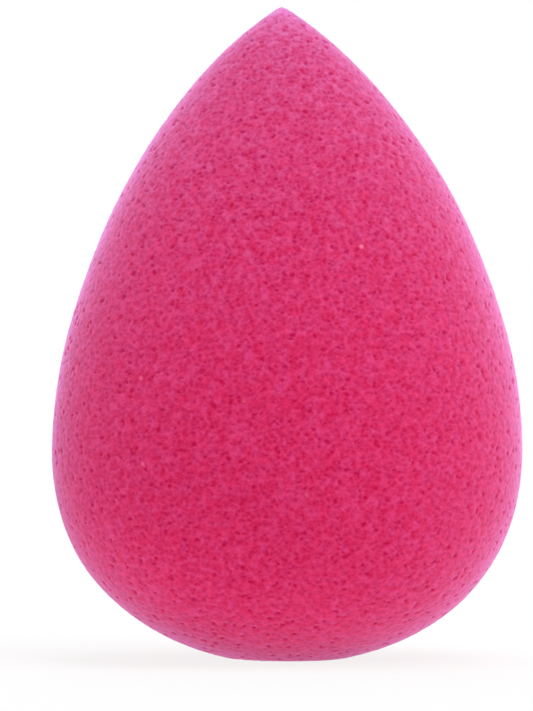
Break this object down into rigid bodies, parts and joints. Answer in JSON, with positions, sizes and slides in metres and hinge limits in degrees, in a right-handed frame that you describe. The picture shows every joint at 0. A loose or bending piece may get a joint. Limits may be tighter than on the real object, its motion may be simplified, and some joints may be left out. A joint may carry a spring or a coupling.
{
  "type": "makeup sponge",
  "caption": "Teardrop makeup sponge in one piece of soft open-cell foam, with a blunt point for small areas and a broad round end for blending.",
  "frame": {"origin": "middle of the small flat at the round end, which the sponge stands on", "axes": "+Z along the teardrop's axis to its tip; the sponge is round about Z, and the picture is taken looking along +Y"},
  "size_m": [0.043, 0.043, 0.0595],
  "materials": {
    "pink_foam": "matte"
  },
  "bodies": {
    "root": {"foam_body": "pink_foam"}
  },
  "joints": []
}
